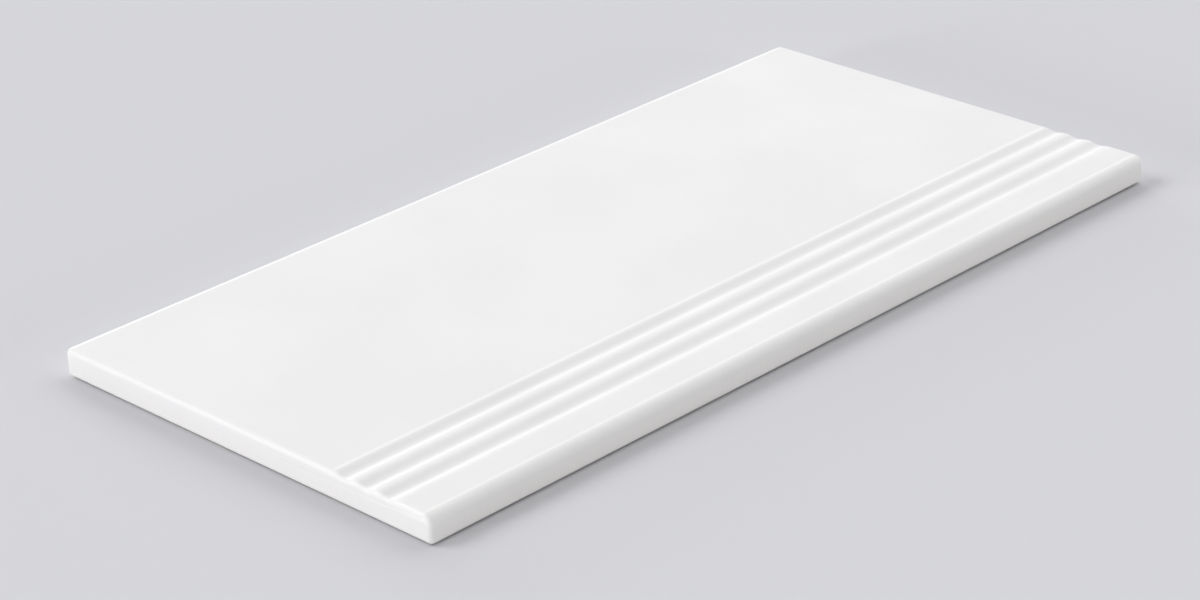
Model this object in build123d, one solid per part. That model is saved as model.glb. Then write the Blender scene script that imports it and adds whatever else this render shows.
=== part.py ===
"""Stair tread tile: one pressed porcelain slab with a rounded nosing and three anti-slip flutes.

Frame: +X along the nosing, -Y out through the nosing, +Z up out of the walking face. The origin is
on the bed, under the middle of the tile. All sizes are in millimetres, all angles in degrees.
"""

import math
import os

from build123d import *

# Overall sizes
LENGTH = 600.0
DEPTH = 300.0
THICKNESS = 18.0

# Rounded edges: the nosing, then every other upper edge and upright corner, then the foot
NOSING_RADIUS = 6.0
EDGE_RADIUS = 3.0
FOOT_RADIUS = 3.0

# Anti-slip flutes, pressed side by side along the whole tile, with a rounded crest between them
FLUTE_COUNT = 3
FLUTE_WIDTH = 17.0
FLUTE_DEPTH = 1.1
NOSING_TO_FLUTES = 24.5
TROUGH_SHARE = 0.45

# Keying relief: ribs that stand below the slab and bite into the adhesive, behind a plain band
# that hangs over the riser
KEY_HEIGHT = 0.7
KEY_DRAFT = 30.0
KEY_MARGIN = 12.0
OVERHANG = 34.0
RIB_WIDTH = 5.0
CELL_PITCH = 48.0
CELL_CORNER_RADIUS = 3.0

FRONT = -DEPTH / 2
BACK = DEPTH / 2


def draw_flute(middle):
    """One flute, from its back shoulder to its front one: three arcs that meet on a tangent."""
    slope = 2 * math.atan(2 * FLUTE_DEPTH / FLUTE_WIDTH)
    shoulder_and_trough = FLUTE_WIDTH / (2 * math.sin(slope))
    trough_radius = TROUGH_SHARE * shoulder_and_trough
    reach = trough_radius * math.sin(slope)
    turn = THICKNESS - FLUTE_DEPTH + trough_radius * (1 - math.cos(slope))

    back_shoulder = (middle + FLUTE_WIDTH / 2, THICKNESS)
    back_turn = (middle + reach, turn)
    front_turn = (middle - reach, turn)
    front_shoulder = (middle - FLUTE_WIDTH / 2, THICKNESS)
    falling = (-math.cos(slope), -math.sin(slope))
    rising = (-math.cos(slope), math.sin(slope))

    TangentArc(back_shoulder, back_turn, tangent=(-1, 0))
    TangentArc(back_turn, front_turn, tangent=falling)
    TangentArc(front_turn, front_shoulder, tangent=rising)


def tread_section():
    """The section across the tile's depth, with sharp corners at the back and underneath."""
    flutes_front = FRONT + NOSING_TO_FLUTES
    flutes_back = flutes_front + FLUTE_COUNT * FLUTE_WIDTH
    nosing_start = (FRONT + NOSING_RADIUS, THICKNESS)
    nosing_end = (FRONT, THICKNESS - NOSING_RADIUS)
    with BuildSketch(Plane.YZ) as section:
        with BuildLine():
            Line((BACK, KEY_HEIGHT), (BACK, THICKNESS))
            Line((BACK, THICKNESS), (flutes_back, THICKNESS))
            for i in reversed(range(FLUTE_COUNT)):
                draw_flute(flutes_front + (i + 0.5) * FLUTE_WIDTH)
            Line((flutes_front, THICKNESS), nosing_start)
            TangentArc(nosing_start, nosing_end, tangent=(-1, 0))
            Line(nosing_end, (FRONT, KEY_HEIGHT))
            Line((FRONT, KEY_HEIGHT), (BACK, KEY_HEIGHT))
        make_face()
    return section.sketch


def underside(slab):
    """The lowest flat face of the slab."""
    return slab.faces().sort_by(Axis.Z)[0]


def rounded_slab():
    """The section run along the tile, with the edges of its ends and back rounded, then its foot."""
    slab = extrude(tread_section(), amount=LENGTH / 2, both=True)
    foot = underside(slab).edges()
    ends = [e for face in slab.faces().filter_by(Axis.X) for e in face.edges() if e not in foot]
    back_face = slab.faces().sort_by(Axis.Y)[-1]
    back_top = back_face.edges().sort_by(Axis.Z)[-1]
    slab = fillet(ends + [back_top], EDGE_RADIUS)
    return fillet(underside(slab).edges(), FOOT_RADIUS)


def keying_relief():
    """The ribs under the tile: one drafted pad with a grid of drafted cells taken out of it."""
    length = LENGTH - 2 * KEY_MARGIN
    depth = DEPTH - KEY_MARGIN - OVERHANG
    middle = (OVERHANG - KEY_MARGIN) / 2
    columns = 2 * max(1, round(length / CELL_PITCH / 2))
    rows = max(1, round(depth / CELL_PITCH))
    column_pitch = (length - RIB_WIDTH) / columns
    row_pitch = (depth - RIB_WIDTH) / rows

    bed = Plane((0, middle, 0))
    outline = RectangleRounded(length, depth, CELL_CORNER_RADIUS + RIB_WIDTH)
    opening = RectangleRounded(column_pitch - RIB_WIDTH, row_pitch - RIB_WIDTH, CELL_CORNER_RADIUS)
    pad = extrude(bed * outline, amount=KEY_HEIGHT, taper=-KEY_DRAFT)
    cell = extrude(bed * opening, amount=KEY_HEIGHT, taper=KEY_DRAFT)
    return pad - [place * cell for place in GridLocations(column_pitch, row_pitch, columns, rows)]


def tread_tile():
    """The whole tile as one solid."""
    return rounded_slab() + keying_relief()


os.makedirs("parts", exist_ok=True)
export_step(tread_tile(), "parts/tread_tile.step")
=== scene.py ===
# %% [markdown]
# Stair tread tile
#
# This lesson dresses one pressed porcelain tread tile: a white slab, 600 by 300 mm, whose front
# edge is rounded into a nosing and whose face carries three shallow anti-slip flutes beside it.
# The tile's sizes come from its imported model. Blender adds a finer skin of the same shape, the
# fired white surface, a floor, soft light and a camera.

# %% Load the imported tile
import math

import bpy
import bmesh
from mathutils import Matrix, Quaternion, Vector


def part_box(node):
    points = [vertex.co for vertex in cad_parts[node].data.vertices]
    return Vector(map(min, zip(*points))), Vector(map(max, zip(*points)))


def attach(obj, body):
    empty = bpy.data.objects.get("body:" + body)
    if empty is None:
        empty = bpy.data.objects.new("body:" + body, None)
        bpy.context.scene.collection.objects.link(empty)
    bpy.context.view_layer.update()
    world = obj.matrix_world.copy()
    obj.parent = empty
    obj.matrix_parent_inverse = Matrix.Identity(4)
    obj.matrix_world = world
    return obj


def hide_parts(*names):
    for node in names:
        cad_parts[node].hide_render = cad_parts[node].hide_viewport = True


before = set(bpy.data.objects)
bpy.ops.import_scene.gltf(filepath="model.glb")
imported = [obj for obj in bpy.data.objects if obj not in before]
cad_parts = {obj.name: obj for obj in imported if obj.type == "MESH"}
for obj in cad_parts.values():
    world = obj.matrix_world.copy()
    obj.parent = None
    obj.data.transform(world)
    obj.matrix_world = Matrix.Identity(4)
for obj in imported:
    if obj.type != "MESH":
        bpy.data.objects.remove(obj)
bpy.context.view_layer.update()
TILE = "tread_tile"
low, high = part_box(TILE)
print("tile box in metres:", tuple(low), tuple(high))

# %% [markdown]
# Sizes
#
# A tile maker's drawing gives one section and one length. The overall sizes are read from the
# packed tile, so the skin can't drift away from it. The radii, the flutes and the ribs under the
# tile are the drawing's own sizes, written here in metres.

# %% Name the sizes
MM = 0.001
FRONT, BACK = low.y, high.y
LENGTH = high.x - low.x
THICKNESS = high.z - low.z
NOSING_RADIUS = 6 * MM
EDGE_RADIUS = 3 * MM
FOOT_RADIUS = 3 * MM
FLUTE_COUNT = 3
FLUTE_WIDTH = 17 * MM
FLUTE_DEPTH = 1.1 * MM
NOSING_TO_FLUTES = 24.5 * MM
TROUGH_SHARE = 0.45
KEY_HEIGHT = 0.7 * MM
KEY_MARGIN = 12 * MM
OVERHANG = 34 * MM
RIB_WIDTH = 5 * MM
CELL_PITCH = 48 * MM
CELL_CORNER_RADIUS = 3 * MM
KEY_DRAFT = math.radians(30)
print("millimetres:", [round(size / MM, 2) for size in (LENGTH, BACK - FRONT, THICKNESS)])

# %% [markdown]
# The section
#
# The die that presses the tile is a straight run of one section, so the section is the whole
# design: upright back, flat tread, three flutes, rounded nosing, foot. It could be drawn by hand
# as a curve, but every stretch of it is an arc or a straight line, and arcs are best worked out.
# Each point also keeps two things for later. One is its outward direction, because the ends of the
# tile are rounded by drawing the section in along those directions. The other is a value for
# painted
# light and for the glaze: it whitens rounded edges, rims and crests as a painted highlight and
# makes them a little glossier there, and it darkens the troughs as painted shade.

# %% Draw an arc
ARC_STEP = 0.4 * MM
FEWEST_STEPS = 4


def arc(middle, radius, start, end, outward=1, painted_light_and_thin_start=0.0, painted_light_and_thin_middle=0.0, painted_light_and_thin_end=0.0):
    """(y, z, outward y, outward z, painted light and glaze) along an arc, its angles in degrees."""
    turn = math.radians(end - start)
    steps = max(FEWEST_STEPS, round(abs(turn) * radius / ARC_STEP))
    points = []
    for i in range(steps + 1):
        share = i / steps
        angle = math.radians(start) + turn * share
        y, z = math.cos(angle), math.sin(angle)
        # Above 0 this is a painted highlight with a glossier glaze, below 0 it is painted shade.
        ends = painted_light_and_thin_start * max(0, 1 - 2 * share) + painted_light_and_thin_end * max(0, 2 * share - 1)
        thin = painted_light_and_thin_middle * math.sin(math.pi * share) + ends
        place = (middle[0] + radius * y, middle[1] + radius * z)
        points.append((*place, outward * y, outward * z, thin))
    return points


print("points on the nosing:", len(arc((0, 0), NOSING_RADIUS, 90, 180)))

# %% Draw the flutes and the whole section
RIM_WIDTH = 2.4 * MM
# The rims and crests get a painted highlight and a little glossier glaze.
PAINTED_HIGHLIGHT_AND_THIN_ON_BACK_RIM = 0.9
PAINTED_HIGHLIGHT_AND_THIN_ON_FRONT_RIM = 0.4
PAINTED_HIGHLIGHT_AND_THIN_ON_CREST = 0.3
# Painted shade along the bottom of each trough.
PAINTED_SHADE_IN_TROUGH = -0.6


def flute(middle, painted_light_and_thin_behind, painted_light_and_thin_ahead):
    """A flute's back shoulder, trough and front shoulder, which meet on a tangent."""
    slope = 2 * math.atan(2 * FLUTE_DEPTH / FLUTE_WIDTH)
    both = FLUTE_WIDTH / (2 * math.sin(slope))
    trough, shoulder = TROUGH_SHARE * both, (1 - TROUGH_SHARE) * both
    turn = math.degrees(slope)
    back = (middle + FLUTE_WIDTH / 2, THICKNESS - shoulder)
    bottom = (middle, THICKNESS - FLUTE_DEPTH + trough)
    front = (middle - FLUTE_WIDTH / 2, THICKNESS - shoulder)
    return (
        arc(back, shoulder, 90, 90 + turn, painted_light_and_thin_start=painted_light_and_thin_behind)
        + arc(bottom, trough, -90 + turn, -90 - turn, -1, painted_light_and_thin_middle=PAINTED_SHADE_IN_TROUGH)[1:-1]
        + arc(front, shoulder, 90 - turn, 90, painted_light_and_thin_end=painted_light_and_thin_ahead)
    )


def tread_section():
    """All points of the section, from the back foot up, over the tread and down the nosing."""
    flutes_front = FRONT + NOSING_TO_FLUTES
    flutes_back = flutes_front + FLUTE_COUNT * FLUTE_WIDTH
    foot = KEY_HEIGHT + FOOT_RADIUS
    points = arc((BACK - FOOT_RADIUS, foot), FOOT_RADIUS, -90, 0)
    top_of_back = (BACK - EDGE_RADIUS, THICKNESS - EDGE_RADIUS)
    points += arc(top_of_back, EDGE_RADIUS, 0, 90, painted_light_and_thin_middle=1, painted_light_and_thin_end=1)
    points.append((BACK - EDGE_RADIUS - RIM_WIDTH, THICKNESS, 0, 1, 0))
    points.append((flutes_back + RIM_WIDTH, THICKNESS, 0, 1, 0))
    painted_light_and_thin_behind = PAINTED_HIGHLIGHT_AND_THIN_ON_BACK_RIM
    for i in reversed(range(FLUTE_COUNT)):
        painted_light_and_thin_ahead = PAINTED_HIGHLIGHT_AND_THIN_ON_CREST if i else PAINTED_HIGHLIGHT_AND_THIN_ON_FRONT_RIM
        made = flute(flutes_front + (i + 0.5) * FLUTE_WIDTH, painted_light_and_thin_behind, painted_light_and_thin_ahead)
        points += made if i == FLUTE_COUNT - 1 else made[1:]
        painted_light_and_thin_behind = PAINTED_HIGHLIGHT_AND_THIN_ON_CREST
    points.append((flutes_front - RIM_WIDTH, THICKNESS, 0, 1, 0))
    points.append((FRONT + NOSING_RADIUS + 0.5 * RIM_WIDTH, THICKNESS, 0, 1, 0))
    top_of_nosing = (FRONT + NOSING_RADIUS, THICKNESS - NOSING_RADIUS)
    points += arc(top_of_nosing, NOSING_RADIUS, 90, 180, painted_light_and_thin_start=1, painted_light_and_thin_middle=1)
    points += arc((FRONT + FOOT_RADIUS, foot), FOOT_RADIUS, 180, 270)
    return points


print("points of the section:", len(tread_section()))


# %% Turn the section into a wire
def section_object(name, points):
    """A closed wire of the section that carries its outward directions and its painted light and
    glaze.
    """
    mesh = bpy.data.meshes.new(name)
    count = len(points)
    edges = [(i, (i + 1) % count) for i in range(count)]
    mesh.from_pydata([(0, y, z) for y, z, _, _, _ in points], edges, [])
    outward = mesh.attributes.new("outward", "FLOAT_VECTOR", "POINT")
    outward.data.foreach_set("vector", [v for _, _, y, z, _ in points for v in (0, y, z)])
    thin = mesh.attributes.new("thin", "FLOAT", "POINT")
    thin.data.foreach_set("value", [point[4] for point in points])
    made = bpy.data.objects.new(name, mesh)
    bpy.context.scene.collection.objects.link(made)
    return made


tile = section_object("tread_tile_skin", tread_section())
print("wire:", tile.name, len(tile.data.edges), "edges")

# %% [markdown]
# A short way to write nodes
#
# Every tree below is a list of nodes, their options and what feeds them. One helper adds a node
# and fills its inputs by name, so that each tree reads from top to bottom like a recipe.

# %% Helpers for trees
def add_node(tree, kind, inputs=None, **options):
    """Adds a node, sets its options, and links or fills the inputs that are named."""
    node = tree.nodes.new(kind)
    for option, value in options.items():
        setattr(node, option, value)
    for key, value in (inputs or {}).items():
        for source in value if isinstance(value, list) else [value]:
            if isinstance(source, bpy.types.NodeSocket):
                tree.links.new(source, node.inputs[key])
            else:
                node.inputs[key].default_value = source
    return node


def math_node(tree, operation, *values):
    """The result of one sum on numbers."""
    return add_node(tree, "ShaderNodeMath", dict(enumerate(values)), operation=operation).outputs[0]


def vector_node(tree, operation, *values, scale=None):
    """The result of one sum on vectors."""
    inputs = dict(enumerate(values))
    if scale is not None:
        inputs["Scale"] = scale
    return add_node(tree, "ShaderNodeVectorMath", inputs, operation=operation).outputs[0]


def new_tree(name, inputs, outputs=(("Geometry", "Geometry"),), kind="GeometryNodeTree"):
    """A tree with named inputs and outputs, and the sockets that its inputs arrive at."""
    tree = bpy.data.node_groups.new(name, kind)
    for label, socket in outputs:
        tree.interface.new_socket(name=label, in_out="OUTPUT", socket_type="NodeSocket" + socket)
    for label, socket in inputs:
        tree.interface.new_socket(name=label, in_out="INPUT", socket_type="NodeSocket" + socket)
    given = tree.nodes.new("NodeGroupInput").outputs
    return tree, given


def end_tree(tree, results):
    """Links what the tree has made to its named outputs."""
    add_node(tree, "NodeGroupOutput", results)


def keep(tree, geometry, kind, value):
    """Writes a field down on the geometry, so that a later node can still read it."""
    node = tree.nodes.new("GeometryNodeCaptureAttribute")
    node.capture_items.new(kind, "Value")
    tree.links.new(geometry, node.inputs["Geometry"])
    tree.links.new(value, node.inputs["Value"])
    return node.outputs["Geometry"], node.outputs["Value"]


def store(tree, geometry, name, value):
    """Writes a number for each point down on the geometry under a name."""
    return add_node(
        tree,
        "GeometryNodeStoreNamedAttribute",
        {"Geometry": geometry, "Name": name, "Value": value},
        data_type="FLOAT",
        domain="POINT",
    ).outputs[0]


tree_helpers = (add_node, math_node, vector_node, new_tree, end_tree, keep, store)
print("tree helpers:", [helper.__name__ for helper in tree_helpers])

# %% [markdown]
# The slab
#
# The section runs straight along the tile, and near each end it is drawn in along its outward
# directions by a quarter circle. That rounds the tread, the nosing, the back and the foot at once,
# and the rounding follows the flutes where they run out through the end. A painted highlight, with
# a glossier glaze, runs over the same quarter circle. A Bevel modifier could round the ends too,
# but it would have to guess at the many small faces of the flutes.

# %% Stations of the sweep
# The rounded ends get a painted highlight, and their glaze is a little glossier.
PAINTED_HIGHLIGHT_AND_THIN_AT_ENDS = 1.5


def station_fields(tree, given):
    """For each station: how far along it is, how far it is drawn in, how much painted highlight and
    glossier glaze it gets.
    """
    steps = given["Steps"]
    index = tree.nodes.new("GeometryNodeInputIndex").outputs[0]
    from_middle = math_node(tree, "SUBTRACT", index, math_node(tree, "ADD", steps, 0.5))
    side = math_node(tree, "SIGN", from_middle)
    step = math_node(tree, "SUBTRACT", math_node(tree, "ABSOLUTE", from_middle), 0.5)
    angle = math_node(tree, "MULTIPLY", math_node(tree, "DIVIDE", step, steps), math.pi / 2)
    short = math_node(tree, "SUBTRACT", 1.0, math_node(tree, "SINE", angle))
    short = math_node(tree, "MULTIPLY", given["End radius"], short)
    half_length = math_node(tree, "MULTIPLY", given["Length"], 0.5)
    along = math_node(tree, "MULTIPLY", math_node(tree, "SUBTRACT", half_length, short), side)
    drawn = math_node(tree, "SUBTRACT", 1.0, math_node(tree, "COSINE", angle))
    inward = math_node(tree, "MULTIPLY", given["End radius"], drawn)
    # Painted highlight over the rounded end, which also makes the glaze glossier there.
    edge = math_node(tree, "SINE", math_node(tree, "MULTIPLY", angle, 2.0))
    edge = math_node(tree, "MINIMUM", math_node(tree, "MULTIPLY", edge, PAINTED_HIGHLIGHT_AND_THIN_AT_ENDS), 1.0)
    return along, inward, edge


# This is the painted highlight over a rounded end.
print("thinness over a rounded end:", PAINTED_HIGHLIGHT_AND_THIN_AT_ENDS, "x sine, at most 1")

# %% Tree for the slab
# The attribute carries the painted highlight, the painted shade in the troughs, and where the glaze
# is glossier.
PAINTED_LIGHT_AND_THIN_GLAZE = "thin glaze"
SAME_POINT = 0.001 * MM


def slab_tree():
    """Sweeps the section along the tile and rounds both ends."""
    tree, given = new_tree(
        "Pressed slab",
        [("Section", "Geometry"), ("Length", "Float"), ("End radius", "Float"), ("Steps", "Int")],
    )
    along, inward, edge = station_fields(tree, given)
    stations = math_node(tree, "MULTIPLY_ADD", given["Steps"], 2.0, 2.0)
    line = add_node(tree, "GeometryNodeMeshLine", {"Count": stations, "Offset": (1, 0, 0)})
    spine, along = keep(tree, line.outputs["Mesh"], "FLOAT", along)
    spine, inward = keep(tree, spine, "FLOAT", inward)
    spine, edge = keep(tree, spine, "FLOAT", edge)
    spine = add_node(tree, "GeometryNodeMeshToCurve", {"Mesh": spine}).outputs[0]

    outward = add_node(
        tree, "GeometryNodeInputNamedAttribute", {"Name": "outward"}, data_type="FLOAT_VECTOR"
    )
    thin = add_node(tree, "GeometryNodeInputNamedAttribute", {"Name": "thin"}, data_type="FLOAT")
    position = tree.nodes.new("GeometryNodeInputPosition").outputs[0]
    section, place = keep(tree, given["Section"], "VECTOR", position)
    section, outward = keep(tree, section, "VECTOR", outward.outputs["Attribute"])
    section, thin = keep(tree, section, "FLOAT", thin.outputs["Attribute"])
    section = add_node(tree, "GeometryNodeMeshToCurve", {"Mesh": section}).outputs[0]

    swept = add_node(
        tree,
        "GeometryNodeCurveToMesh",
        {"Curve": spine, "Profile Curve": section, "Fill Caps": True},
    ).outputs[0]
    drawn_in = vector_node(tree, "SCALE", outward, scale=inward)
    out_along = add_node(tree, "ShaderNodeCombineXYZ", {"X": along}).outputs[0]
    point = vector_node(tree, "ADD", vector_node(tree, "SUBTRACT", place, drawn_in), out_along)
    placed = add_node(
        tree, "GeometryNodeSetPosition", {"Geometry": swept, "Position": point}
    ).outputs[0]
    # Over the rounded ends the painted highlight takes over from the section's own value.
    elsewhere = math_node(tree, "MULTIPLY", thin, math_node(tree, "SUBTRACT", 1.0, edge))
    written = store(tree, placed, PAINTED_LIGHT_AND_THIN_GLAZE, math_node(tree, "ADD", elsewhere, edge))
    for name in ("outward", "thin"):
        written = add_node(
            tree, "GeometryNodeRemoveAttribute", {"Geometry": written, "Name": name}
        ).outputs[0]
    merged = add_node(
        tree, "GeometryNodeMergeByDistance", {"Geometry": written, "Distance": SAME_POINT}
    ).outputs[0]
    end_tree(tree, {"Geometry": merged})
    return tree


slab = slab_tree()
print("slab tree nodes:", len(slab.nodes))

# %% [markdown]
# The keyed back
#
# The hidden side of a pressed tile is keyed: low ribs stand below it and bite into the adhesive.
# The press makes them with a plate of shallow blocks, so the tree does the same. One drafted block
# is the pad, a smaller one is a cell, and the cells are repeated on a grid and taken out of it.

# %% Tree for a drafted block
def block_tree():
    """A block with rounded corners whose outline is stated at height 0 and leans with height."""
    tree, given = new_tree(
        "Drafted block",
        [
            ("Width", "Float"),
            ("Depth", "Float"),
            ("Corner radius", "Float"),
            ("Corner steps", "Int"),
            ("Low", "Float"),
            ("High", "Float"),
            ("Lean", "Float"),
        ],
    )
    outline = add_node(
        tree,
        "GeometryNodeCurvePrimitiveQuadrilateral",
        {"Width": given["Width"], "Height": given["Depth"]},
        mode="RECTANGLE",
    ).outputs[0]
    outline = add_node(
        tree,
        "GeometryNodeFilletCurve",
        {"Curve": outline, "Count": given["Corner steps"], "Radius": given["Corner radius"]},
        mode="POLY",
    ).outputs[0]
    position = tree.nodes.new("GeometryNodeInputPosition").outputs[0]
    size = add_node(
        tree, "ShaderNodeCombineXYZ", {"X": given["Width"], "Y": given["Depth"]}
    ).outputs[0]
    corner = add_node(
        tree,
        "ShaderNodeCombineXYZ",
        {"X": given["Corner radius"], "Y": given["Corner radius"]},
    ).outputs[0]
    core = vector_node(tree, "SUBTRACT", vector_node(tree, "SCALE", size, scale=0.5), corner)
    inner = vector_node(tree, "MINIMUM", position, core)
    inner = vector_node(tree, "MAXIMUM", inner, vector_node(tree, "SCALE", core, scale=-1.0))
    outward = vector_node(tree, "NORMALIZE", vector_node(tree, "SUBTRACT", position, inner))
    outline, place = keep(tree, outline, "VECTOR", position)
    outline, outward = keep(tree, outline, "VECTOR", outward)

    line = add_node(tree, "GeometryNodeMeshLine", {"Count": 2, "Offset": (0, 0, 1)})
    index = tree.nodes.new("GeometryNodeInputIndex").outputs[0]
    rise = math_node(tree, "SUBTRACT", given["High"], given["Low"])
    height = math_node(tree, "MULTIPLY_ADD", index, rise, given["Low"])
    spine, height = keep(tree, line.outputs["Mesh"], "FLOAT", height)
    spine = add_node(tree, "GeometryNodeMeshToCurve", {"Mesh": spine}).outputs[0]
    swept = add_node(
        tree,
        "GeometryNodeCurveToMesh",
        {"Curve": spine, "Profile Curve": outline, "Fill Caps": True},
    ).outputs[0]
    lean = math_node(tree, "MULTIPLY", height, given["Lean"])
    point = vector_node(tree, "ADD", place, vector_node(tree, "SCALE", outward, scale=lean))
    point = vector_node(
        tree, "ADD", point, add_node(tree, "ShaderNodeCombineXYZ", {"Z": height}).outputs[0]
    )
    placed = add_node(
        tree, "GeometryNodeSetPosition", {"Geometry": swept, "Position": point}
    ).outputs[0]
    end_tree(tree, {"Geometry": placed})
    return tree


block = block_tree()
print("block tree nodes:", len(block.nodes))


# %% One pad, and a grid of cells
def pad_and_cells(tree, given):
    """The pad and the cells that are taken out of it, both in place under the slab."""
    lean = math_node(tree, "TANGENT", given["Key draft"])
    outer_corner = math_node(tree, "ADD", given["Cell corner radius"], given["Rib width"])
    pad = add_node(
        tree,
        "GeometryNodeGroup",
        {
            "Width": given["Pad length"],
            "Depth": given["Pad depth"],
            "Corner radius": outer_corner,
            "Corner steps": given["Corner steps"],
            "High": math_node(tree, "ADD", given["Key height"], given["Overlap"]),
            "Lean": lean,
        },
        node_tree=block,
    ).outputs[0]
    along = math_node(tree, "SUBTRACT", given["Pad length"], given["Rib width"])
    along = math_node(tree, "DIVIDE", along, given["Columns"])
    across = math_node(tree, "SUBTRACT", given["Pad depth"], given["Rib width"])
    across = math_node(tree, "DIVIDE", across, given["Rows"])
    cell = add_node(
        tree,
        "GeometryNodeGroup",
        {
            "Width": math_node(tree, "SUBTRACT", along, given["Rib width"]),
            "Depth": math_node(tree, "SUBTRACT", across, given["Rib width"]),
            "Corner radius": given["Cell corner radius"],
            "Corner steps": given["Corner steps"],
            "Low": math_node(tree, "MULTIPLY", given["Overlap"], -1.0),
            "High": given["Key height"],
            "Lean": math_node(tree, "MULTIPLY", lean, -1.0),
        },
        node_tree=block,
    ).outputs[0]
    gaps_along = math_node(tree, "SUBTRACT", given["Columns"], 1.0)
    gaps_across = math_node(tree, "SUBTRACT", given["Rows"], 1.0)
    grid = add_node(
        tree,
        "GeometryNodeMeshGrid",
        {
            "Size X": math_node(tree, "MULTIPLY", along, gaps_along),
            "Size Y": math_node(tree, "MULTIPLY", across, gaps_across),
            "Vertices X": given["Columns"],
            "Vertices Y": given["Rows"],
        },
    ).outputs["Mesh"]
    cells = add_node(
        tree, "GeometryNodeInstanceOnPoints", {"Points": grid, "Instance": cell}
    ).outputs[0]
    cells = add_node(tree, "GeometryNodeRealizeInstances", {"Geometry": cells}).outputs[0]
    place = add_node(tree, "ShaderNodeCombineXYZ", {"Y": given["Pad middle"]}).outputs[0]
    return [
        add_node(tree, "GeometryNodeTransform", {"Geometry": mesh, "Translation": place}).outputs[0]
        for mesh in (pad, cells)
    ]


print("ribs:", RIB_WIDTH / MM, "mm wide and", KEY_HEIGHT / MM, "mm high")


# %% Join, smooth, and keep the painted light and glaze of the body
def joined(tree, operation, meshes):
    """One closed mesh from several, cut exactly."""
    return add_node(
        tree, "GeometryNodeMeshBoolean", meshes, operation=operation, solver="EXACT"
    ).outputs["Mesh"]


def smoothed(tree, body, crease_angle):
    """Shades the body smooth, but for the edges that are sharper than the crease angle."""
    body = add_node(
        tree, "GeometryNodeSetShadeSmooth", {"Geometry": body}, domain="FACE"
    ).outputs[0]
    edge_angle = tree.nodes.new("GeometryNodeInputMeshEdgeAngle").outputs[0]
    creased = math_node(tree, "GREATER_THAN", edge_angle, crease_angle)
    return add_node(
        tree,
        "GeometryNodeSetShadeSmooth",
        {"Geometry": body, "Selection": creased, "Shade Smooth": False},
        domain="EDGE",
    ).outputs[0]


def with_painted_light_and_glaze(tree, body, slab_mesh):
    """Writes down the painted light and glaze again from the slab, because cutting loses what
    points carry.
    """
    thin = add_node(
        tree, "GeometryNodeInputNamedAttribute", {"Name": PAINTED_LIGHT_AND_THIN_GLAZE}, data_type="FLOAT"
    )
    thin = add_node(
        tree,
        "GeometryNodeSampleNearestSurface",
        {"Mesh": slab_mesh, "Value": thin.outputs["Attribute"]},
        data_type="FLOAT",
    ).outputs["Value"]
    return store(tree, body, PAINTED_LIGHT_AND_THIN_GLAZE, thin)


# The attribute holds painted light as well as the glaze.
print("the glaze is kept as:", PAINTED_LIGHT_AND_THIN_GLAZE)


# %% Tree for the tile with its ribs
def tile_tree():
    """The slab with its ribs: the pad is added below it, and the grid of cells is taken out."""
    tree, given = new_tree(
        "Pressed tile",
        [
            ("Section", "Geometry"),
            ("Length", "Float"),
            ("End radius", "Float"),
            ("Steps", "Int"),
            ("Pad length", "Float"),
            ("Pad depth", "Float"),
            ("Pad middle", "Float"),
            ("Key height", "Float"),
            ("Key draft", "Float"),
            ("Rib width", "Float"),
            ("Columns", "Int"),
            ("Rows", "Int"),
            ("Cell corner radius", "Float"),
            ("Corner steps", "Int"),
            ("Overlap", "Float"),
            ("Crease angle", "Float"),
            ("Foot line", "Float"),
            ("Face material", "Material"),
            ("Bed material", "Material"),
        ],
    )
    slab_mesh = add_node(
        tree,
        "GeometryNodeGroup",
        {label: given[label] for label in ("Section", "Length", "End radius", "Steps")},
        node_tree=slab,
    ).outputs[0]
    pad, cells = pad_and_cells(tree, given)
    body = joined(tree, "UNION", {"Mesh 2": [slab_mesh, pad]})
    body = joined(tree, "DIFFERENCE", {"Mesh 1": body, "Mesh 2": cells})
    body = smoothed(tree, body, given["Crease angle"])
    body = with_painted_light_and_glaze(tree, body, slab_mesh)
    body = add_node(tree, "GeometryNodeRealizeInstances", {"Geometry": body}).outputs[0]
    body = add_node(
        tree, "GeometryNodeSetMaterial", {"Geometry": body, "Material": given["Face material"]}
    ).outputs[0]
    position = tree.nodes.new("GeometryNodeInputPosition").outputs[0]
    height = add_node(tree, "ShaderNodeSeparateXYZ", {0: position}).outputs["Z"]
    below = math_node(tree, "LESS_THAN", height, given["Foot line"])
    body = add_node(
        tree,
        "GeometryNodeSetMaterial",
        {"Geometry": body, "Selection": below, "Material": given["Bed material"]},
    ).outputs[0]
    end_tree(tree, {"Geometry": body})
    return tree


pressed = tile_tree()
print("tile tree nodes:", len(pressed.nodes))

# %% [markdown]
# Pressing the tile
#
# The tree runs once on the wire and its result is kept as a plain mesh, with the modifier taken
# off, because the finished tile has to be the same thing for every tool. Normals weighted by area
# come last: they keep the broad face and the walls flat right up to the small roundings.

# %% Press the tile
END_STEPS = 12
CORNER_STEPS = 6
OVERLAP = 1 * MM
CREASE = math.radians(28)
BED_REACHES = 0.25 * FOOT_RADIUS
face_material = bpy.data.materials.new("white_porcelain_face")
bed_material = bpy.data.materials.new("porcelain_bed")


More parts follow.
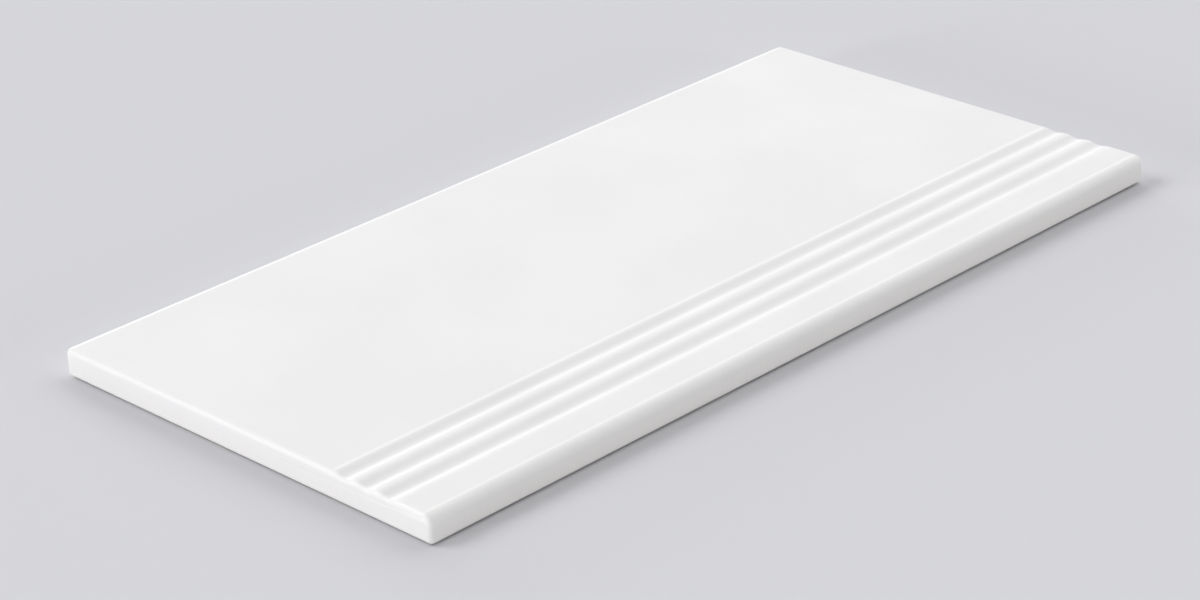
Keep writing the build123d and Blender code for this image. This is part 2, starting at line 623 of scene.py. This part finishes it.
def press(obj, tree, values):
    """Runs the tree on an object with these named inputs and keeps the result as its plain mesh."""
    modifier = obj.modifiers.new(tree.name, "NODES")
    modifier.node_group = tree
    for item in tree.interface.items_tree:
        if item.item_type == "SOCKET" and item.in_out == "INPUT" and item.name in values:
            modifier[item.identifier] = values[item.name]
    weighted = obj.modifiers.new("Flat faces stay flat", "WEIGHTED_NORMAL")
    weighted.keep_sharp = True
    bpy.context.view_layer.update()
    depsgraph = bpy.context.evaluated_depsgraph_get()
    mesh = bpy.data.meshes.new_from_object(obj.evaluated_get(depsgraph), depsgraph=depsgraph)
    obj.modifiers.clear()
    obj.data = mesh
    for i in reversed(range(len(mesh.materials))):
        if mesh.materials[i] is None:
            mesh.materials.pop(index=i)


pad_length = LENGTH - 2 * KEY_MARGIN
pad_depth = BACK - FRONT - KEY_MARGIN - OVERHANG
press(
    tile,
    pressed,
    {
        "Length": LENGTH,
        "End radius": EDGE_RADIUS,
        "Steps": END_STEPS,
        "Pad length": pad_length,
        "Pad depth": pad_depth,
        "Pad middle": (OVERHANG - KEY_MARGIN) / 2,
        "Key height": KEY_HEIGHT,
        "Key draft": KEY_DRAFT,
        "Rib width": RIB_WIDTH,
        "Columns": 2 * max(1, round(pad_length / CELL_PITCH / 2)),
        "Rows": max(1, round(pad_depth / CELL_PITCH)),
        "Cell corner radius": CELL_CORNER_RADIUS,
        "Corner steps": CORNER_STEPS,
        "Overlap": OVERLAP,
        "Crease angle": CREASE,
        "Foot line": KEY_HEIGHT + BED_REACHES,
        "Face material": face_material,
        "Bed material": bed_material,
    },
)
print("kept on the mesh:", [a.name for a in tile.data.attributes if a.domain == "POINT"])
print("its materials:", [material.name for material in tile.data.materials])

# %% Measure the tile
check = bmesh.new()
check.from_mesh(tile.data)
painted_light_and_thin_values = [point.value for point in tile.data.attributes[PAINTED_LIGHT_AND_THIN_GLAZE].data]
print("tile faces:", len(check.faces), "triangles:", sum(len(f.verts) - 2 for f in check.faces))
print("open or shared edges:", sum(not e.is_manifold for e in check.edges))
print("volume in litres:", round(check.calc_volume(signed=True) * 1000, 4))
print("box:", [round(v, 5) for v in (*tile.bound_box[0], *tile.bound_box[6])])
# Above 0 is painted highlight with glossier glaze, below 0 painted shade in the troughs.
print("glaze from", round(min(painted_light_and_thin_values), 3), "to", round(max(painted_light_and_thin_values), 3))
check.free()

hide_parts(TILE)
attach(tile, "root")

# %% [markdown]
# What firing leaves on porcelain
#
# White porcelain looks like one colour from a step away, and never is. Broad soft clouds show
# where the kiln ran a little hotter, and a few pin-point specks are iron in the clay. Both run
# over the glazed face and the bare bed, so they are one shader group, used twice with its own
# sizes. A noise texture gives the clouds. The specks are the hearts of widely spaced cells: only
# the few cells whose heart lies in the surface show as a speck, so they scatter by themselves.

# %% Short ways to write colours, soft steps and noise
def mix_colours(tree, share, first, second):
    """The first colour where the share is 0, the second where it is 1."""
    inputs = {"Factor": share, 6: first, 7: second}
    return add_node(tree, "ShaderNodeMix", inputs, data_type="RGBA").outputs[2]


def ramp(tree, value, start, end, low=0.0, high=1.0):
    """A soft step from low to high while the value goes from start to end."""
    inputs = {"Value": value, "From Min": start, "From Max": end, "To Min": low, "To Max": high}
    return add_node(
        tree, "ShaderNodeMapRange", inputs, interpolation_type="SMOOTHSTEP"
    ).outputs[0]


def noise(tree, place, size, detail=2.0):
    """A noise whose patches are about this size."""
    scale = math_node(tree, "DIVIDE", 1.0, size)
    inputs = {"Vector": place, "Scale": scale, "Detail": detail}
    return add_node(tree, "ShaderNodeTexNoise", inputs).outputs[0]


print("shader helpers:", [helper.__name__ for helper in (mix_colours, ramp, noise)])

# %% Shader group for clouds and specks
CLOUD_CONTRAST = (0.3, 0.7)
CLOUD_DETAIL = 3.0
SPECK_HEART = 0.4


def kiln_marks():
    """Broad clouds and pin-point specks."""
    tree, given = new_tree(
        "Kiln marks",
        [
            ("Place", "Vector"),
            ("Cloud size", "Float"),
            ("Speck spacing", "Float"),
            ("Speck radius", "Float"),
        ],
        [("Clouds", "Float"), ("Specks", "Float")],
        "ShaderNodeTree",
    )
    clouds = noise(tree, given["Place"], given["Cloud size"], CLOUD_DETAIL)
    clouds = ramp(tree, clouds, *CLOUD_CONTRAST)
    spacing = given["Speck spacing"]
    cells = add_node(
        tree,
        "ShaderNodeTexVoronoi",
        {"Vector": given["Place"], "Scale": math_node(tree, "DIVIDE", 1.0, spacing)},
    )
    away = math_node(tree, "MULTIPLY", cells.outputs["Distance"], spacing)
    chance = add_node(tree, "ShaderNodeSeparateColor", {0: cells.outputs["Color"]}).outputs[0]
    radius = math_node(tree, "MULTIPLY", given["Speck radius"], chance)
    specks = ramp(tree, away, radius, math_node(tree, "MULTIPLY", radius, SPECK_HEART))
    end_tree(tree, {"Clouds": clouds, "Specks": specks})
    return tree


kiln = kiln_marks()
print("kiln marks:", len(kiln.nodes), "nodes")

# %% [markdown]
# The feel of the surface
#
# Satin porcelain has two reliefs that a fingertip barely finds: the fine grain of the pressed
# powder, a little over half a millimetre across, and slow ripples where the glaze has run level.
# The grain is a few thousandths of a millimetre high, the ripples a few hundredths. Meshing them
# would take millions of faces, so a group works out their height for a Bump node, which bends the
# light as they would.

# %% Shader group for grain and ripples
RIPPLE_DETAIL = 1.0


def fired_relief():
    """The height of the grain and the ripples, in metres."""
    tree, given = new_tree(
        "Fired relief",
        [
            ("Place", "Vector"),
            ("Grain size", "Float"),
            ("Grain height", "Float"),
            ("Ripple size", "Float"),
            ("Ripple height", "Float"),
        ],
        [("Height", "Float")],
        "ShaderNodeTree",
    )
    grain = noise(tree, given["Place"], given["Grain size"])
    ripples = noise(tree, given["Place"], given["Ripple size"], RIPPLE_DETAIL)
    grain = math_node(tree, "MULTIPLY", grain, given["Grain height"])
    height = math_node(tree, "MULTIPLY_ADD", ripples, given["Ripple height"], grain)
    end_tree(tree, {"Height": height})
    return tree


relief = fired_relief()
print("fired relief:", len(relief.nodes), "nodes")

# %% [markdown]
# The walking face
#
# The face and the upper part of the walls carry a satin skin, laid thinly. The nosing, the edges,
# and the rims and crests of the flutes get a painted highlight and are a little glossier, and the
# troughs get painted shade. Down the walls the skin stops along a soft uneven line, and below it
# the
# bare body shows: slightly warmer, duller, with faint upright marks from the die. The painted light
# and the glaze come with the mesh, so these follow the real edges, and everything else is placed by
# Object coordinates in metres.

# %% Colours of the face and the walls
SKIN_LIGHT = (0.872, 0.864, 0.867, 1)
SKIN_DARK = (0.856, 0.850, 0.853, 1)
# Painted highlight for the edges, rims and crests, and painted shade for the troughs.
SKIN_PAINTED_HIGHLIGHT = (0.950, 0.945, 0.941, 1)
SKIN_PAINTED_SHADE = (0.834, 0.830, 0.833, 1)
BODY_LIGHT = (0.868, 0.858, 0.848, 1)
BODY_DARK = (0.856, 0.845, 0.834, 1)
SPECK = (0.55, 0.51, 0.46, 1)
SPECK_STRENGTH = 0.35
print("skin:", [round(share, 3) for share in SKIN_LIGHT[:3]])

# %% Sizes of the marks on the face and the walls
FACE_MARKS = {"Cloud size": 90 * MM, "Speck spacing": 10 * MM, "Speck radius": 0.4 * MM}
FACE_RELIEF = {
    "Grain size": 0.6 * MM,
    "Grain height": 0.0025 * MM,
    "Ripple size": 22 * MM,
    "Ripple height": 0.03 * MM,
}
SKIN_STOPS = 12 * MM
SKIN_FADES = 4.5 * MM
SKIN_WANDERS = 4 * MM
WANDER_SIZE = 14 * MM
WANDER_DETAIL = 3.0
DIE_MARK_WIDTH = 0.9 * MM
DIE_MARK_HEIGHT = 0.002 * MM
DIE_MARK_CONTRAST = (0.35, 0.65)
DRAWN_UPRIGHT = (1, 1, 0.06)
print("the skin stops", SKIN_STOPS / MM, "mm up the walls")

# %% Material of the face and the walls
SATIN = (0.40, 0.45)
GLOSSIER_WHERE_THIN = 0.08
DULLER_WHERE_BARE = 0.10


def finish_face(material):
    """Satin skin over the face, bare body low on the walls."""
    material.use_nodes = True
    tree = material.node_tree
    shader = tree.nodes["Principled BSDF"]
    place = tree.nodes.new("ShaderNodeTexCoord").outputs["Object"]
    height = add_node(tree, "ShaderNodeSeparateXYZ", {0: place}).outputs["Z"]
    thin = add_node(tree, "ShaderNodeAttribute", attribute_name=PAINTED_LIGHT_AND_THIN_GLAZE).outputs["Fac"]
    marks = add_node(
        tree, "ShaderNodeGroup", {"Place": place, **FACE_MARKS}, node_tree=kiln
    ).outputs

    skin = mix_colours(tree, marks["Clouds"], SKIN_LIGHT, SKIN_DARK)
    # Painted shade in the troughs, then a painted highlight on the edges, rims and crests.
    skin = mix_colours(tree, ramp(tree, thin, 0.0, -1.0), skin, SKIN_PAINTED_SHADE)
    skin = mix_colours(tree, ramp(tree, thin, 0.0, 1.0), skin, SKIN_PAINTED_HIGHLIGHT)

    drawn = add_node(tree, "ShaderNodeMapping", {"Vector": place, "Scale": DRAWN_UPRIGHT})
    drawn = noise(tree, drawn.outputs[0], DIE_MARK_WIDTH)
    body = mix_colours(tree, ramp(tree, drawn, *DIE_MARK_CONTRAST), BODY_LIGHT, BODY_DARK)
    wander = noise(tree, place, WANDER_SIZE, WANDER_DETAIL)
    wander = math_node(tree, "SUBTRACT", wander, 0.5)
    line = math_node(tree, "MULTIPLY_ADD", wander, SKIN_WANDERS, height)
    bare = ramp(tree, line, SKIN_STOPS + SKIN_FADES, SKIN_STOPS - SKIN_FADES)
    colour = mix_colours(tree, bare, skin, body)
    specks = math_node(tree, "MULTIPLY", marks["Specks"], SPECK_STRENGTH)
    tree.links.new(mix_colours(tree, specks, colour, SPECK), shader.inputs["Base Color"])

    rough = ramp(tree, marks["Clouds"], 0.0, 1.0, *SATIN)
    glossier = ramp(tree, thin, 0.0, 1.0, 0.0, GLOSSIER_WHERE_THIN)
    rough = math_node(tree, "SUBTRACT", rough, glossier)
    rough = math_node(tree, "ADD", rough, math_node(tree, "MULTIPLY", bare, DULLER_WHERE_BARE))
    tree.links.new(rough, shader.inputs["Roughness"])

    felt = add_node(
        tree, "ShaderNodeGroup", {"Place": place, **FACE_RELIEF}, node_tree=relief
    ).outputs[0]
    scored = math_node(tree, "MULTIPLY", drawn, bare)
    felt = math_node(tree, "MULTIPLY_ADD", scored, DIE_MARK_HEIGHT, felt)
    bump = add_node(tree, "ShaderNodeBump", {"Height": felt, "Distance": 1.0})
    tree.links.new(bump.outputs[0], shader.inputs["Normal"])
    return len(tree.nodes)


print("face:", finish_face(face_material), "nodes")

# %% [markdown]
# The bed
#
# The underside is never glazed. It is the bare body, a little greyer and warmer than the face and
# dull as chalk, with coarser grain from the lower die. The tile rolls through the kiln on its ribs,
# so their tops carry the rollers' white powder, rubbed into streaks along the way it travelled.

# %% Colours and marks of the bed
BED_LIGHT = (0.70, 0.685, 0.655, 1)
BED_DARK = (0.64, 0.622, 0.59, 1)
POWDER = (0.80, 0.795, 0.78, 1)
BED_MARKS = {"Cloud size": 45 * MM, "Speck spacing": 6 * MM, "Speck radius": 0.6 * MM}
BED_RELIEF = {
    "Grain size": 0.8 * MM,
    "Grain height": 0.012 * MM,
    "Ripple size": 30 * MM,
    "Ripple height": 0.05 * MM,
}
STREAK_WIDTH = 3 * MM
STREAK_DETAIL = 4.0
STREAK_CONTRAST = (0.38, 0.62)
DRAWN_ALONG = (0.05, 1, 1)
RIB_TOP = 0.08 * MM
print("the powder lies up to", round(2 * RIB_TOP / MM, 2), "mm above the lowest point")

# %% Material of the bed
CHALKY = (0.72, 0.90)


def finish_bed(material):
    """Bare body with the kiln's powder on the tops of the ribs."""
    material.use_nodes = True
    tree = material.node_tree
    shader = tree.nodes["Principled BSDF"]
    place = tree.nodes.new("ShaderNodeTexCoord").outputs["Object"]
    height = add_node(tree, "ShaderNodeSeparateXYZ", {0: place}).outputs["Z"]
    marks = add_node(
        tree, "ShaderNodeGroup", {"Place": place, **BED_MARKS}, node_tree=kiln
    ).outputs
    body = mix_colours(tree, marks["Clouds"], BED_LIGHT, BED_DARK)
    specks = math_node(tree, "MULTIPLY", marks["Specks"], SPECK_STRENGTH)
    body = mix_colours(tree, specks, body, SPECK)

    streaks = add_node(tree, "ShaderNodeMapping", {"Vector": place, "Scale": DRAWN_ALONG})
    streaks = noise(tree, streaks.outputs[0], STREAK_WIDTH, STREAK_DETAIL)
    streaks = ramp(tree, streaks, *STREAK_CONTRAST)
    on_ribs = ramp(tree, height, 2 * RIB_TOP, RIB_TOP)
    powder = math_node(tree, "MULTIPLY", streaks, on_ribs)
    tree.links.new(mix_colours(tree, powder, body, POWDER), shader.inputs["Base Color"])
    tree.links.new(ramp(tree, powder, 0.0, 1.0, *CHALKY), shader.inputs["Roughness"])

    felt = add_node(
        tree, "ShaderNodeGroup", {"Place": place, **BED_RELIEF}, node_tree=relief
    ).outputs[0]
    bump = add_node(tree, "ShaderNodeBump", {"Height": felt, "Distance": 1.0})
    tree.links.new(bump.outputs[0], shader.inputs["Normal"])
    return len(tree.nodes)


print("bed:", finish_bed(bed_material), "nodes")

# %% [markdown]
# The floor
#
# The tile lies on a plain pale grey floor with a touch of blue, so that its white reads as white.
# The floor has no gloss, because a reflection of the walls would compete with the soft shadow
# that shows how high the tile stands. It is large enough to fill the view from any side.

# %% Lay the floor
FLOOR_REACH = 40
FLOOR_GREY = (0.770, 0.772, 0.807, 1)
FLOOR_ROUGHNESS = 0.95

corners = [(x * FLOOR_REACH, y * FLOOR_REACH, 0) for x, y in ((-1, -1), (1, -1), (1, 1), (-1, 1))]
floor_mesh = bpy.data.meshes.new("floor")
floor_mesh.from_pydata(corners, [], [(0, 1, 2, 3)])
floor = bpy.data.objects.new("floor", floor_mesh)
bpy.context.scene.collection.objects.link(floor)
floor_material = bpy.data.materials.new("pale_grey_floor")
floor_material.use_nodes = True
floor_shader = floor_material.node_tree.nodes["Principled BSDF"]
floor_shader.inputs["Base Color"].default_value = FLOOR_GREY
floor_shader.inputs["Roughness"].default_value = FLOOR_ROUGHNESS
floor_shader.inputs["Specular IOR Level"].default_value = 0.0
floor_mesh.materials.append(floor_material)
print("floor:", 2 * FLOOR_REACH, "m wide")

# %% [markdown]
# The light
#
# A shallow relief on a white face shows only by light and shade. Light from above alone would wash
# the flutes out, and a lamp in front would light the floor more than the nosing. So three soft
# windows stand around the tile, and their shadows meet in a soft rim on the floor. The wide one
# behind is what the crests mirror, the narrow one behind on the left is what the rounded upper edge
# of the left end mirrors, and a wide one at the right rounds off the nosing. Three low cards throw
# light along the floor: one skims the crests from behind, and two light the walls that face the
# camera without filling the shadow under them. Those two are kept out of the gloss, because from
# the far sides the face would mirror them as a glare. An even dome does the rest. Together they
# bring a face that lies flat to about the colour that it is written in.

# %% A lamp far away
def towards(azimuth, elevation):
    """The direction seen from the tile. Azimuth 0 is in front of the nosing, 90 degrees is +X."""
    a, e = math.radians(azimuth), math.radians(elevation)
    return Vector((math.sin(a) * math.cos(e), -math.cos(a) * math.cos(e), math.sin(e)))


def distant_lamp(name, azimuth, elevation, width, strength, colour=(1.0, 1.0, 1.0)):
    """A lamp far away in this direction that spans this angle of the view from the tile."""
    data = bpy.data.lights.new(name, "SUN")
    data.angle = width
    data.energy = strength
    data.color = colour
    lamp = bpy.data.objects.new(name, data)
    lamp.rotation_euler = towards(azimuth, elevation).to_track_quat("Z", "Y").to_euler()
    bpy.context.scene.collection.objects.link(lamp)
    return lamp


print("overhead is", [round(share, 3) for share in towards(0, 90)])

# %% Switch on the lamps
WIDE = math.radians(60)
NARROW = math.radians(34)
CARD = math.radians(14)
WARM = (1.0, 0.985, 0.955)

lamps = [
    distant_lamp("window behind", azimuth=143, elevation=26, width=WIDE, strength=1.05),
    distant_lamp("window at the left", azimuth=222, elevation=41, width=NARROW, strength=1.23),
    distant_lamp("window at the right", azimuth=76, elevation=42, width=WIDE, strength=1.19),
    distant_lamp("card behind", azimuth=156, elevation=7, width=CARD, strength=0.48),
]
cards_out_of_the_gloss = [
    distant_lamp("card at the left end", azimuth=260, elevation=6, width=CARD, strength=1.48),
    distant_lamp(
        "card before the nosing", azimuth=8, elevation=6, width=CARD, strength=0.80, colour=WARM
    ),
]
for card in cards_out_of_the_gloss:
    card.visible_glossy = False
print("lamps:", [lamp.name for lamp in lamps + cards_out_of_the_gloss])

# %% The dome, and the grey seen around the tile
DOME = 0.12
GREY_AROUND = (0.68, 0.68, 0.71, 1)
world = bpy.data.worlds.new("studio")
world.use_nodes = True
sky = world.node_tree
background = sky.nodes["Background"]
background.inputs["Strength"].default_value = 1.0
rays = sky.nodes.new("ShaderNodeLightPath").outputs
seen = math_node(sky, "MAXIMUM", rays["Is Camera Ray"], rays["Is Glossy Ray"])
seen = math_node(sky, "MAXIMUM", seen, rays["Is Transmission Ray"])
dome = mix_colours(sky, seen, (DOME, DOME, DOME, 1), GREY_AROUND)
sky.links.new(dome, background.inputs["Color"])
bpy.context.scene.world = world
print("dome:", DOME, "of white")

# %% [markdown]
# The camera
#
# The photograph looks down at the nosing from the front left with a long lens, turned by a small
# angle. Its place was found by fitting the tile's drawn outline to the outline in the photograph.
# The lens is written as a focal length in pixels of a 1200 pixel wide picture, because that is
# how such a fit gives it.

# %% Place the camera
PHOTO_WIDTH = 1200
FOCAL_PIXELS = 3413.79
CAMERA_AZIMUTH, CAMERA_ELEVATION, CAMERA_ROLL = -44.475, 25.312, math.radians(-2.477)
CAMERA_DISTANCE = 1982.575 * MM
AIMED_AT = Vector((-35.93 * MM, -9.95 * MM, 0))
FILM_WIDTH = 36
SEES_AS_FAR_AS = 200

camera_data = bpy.data.cameras.new("camera")
camera_data.sensor_width = FILM_WIDTH
camera_data.lens = FOCAL_PIXELS / PHOTO_WIDTH * FILM_WIDTH
camera_data.clip_end = SEES_AS_FAR_AS
camera = bpy.data.objects.new("camera", camera_data)
backwards = towards(CAMERA_AZIMUTH, CAMERA_ELEVATION)
level = backwards.to_track_quat("Z", "Y")
camera.rotation_mode = "QUATERNION"
camera.rotation_quaternion = level @ Quaternion((0, 0, 1), CAMERA_ROLL)
camera.location = AIMED_AT + backwards * CAMERA_DISTANCE
bpy.context.scene.collection.objects.link(camera)
bpy.context.scene.camera = camera
bpy.context.scene.view_settings.view_transform = "Standard"
print("focal length in mm:", round(camera_data.lens, 1))
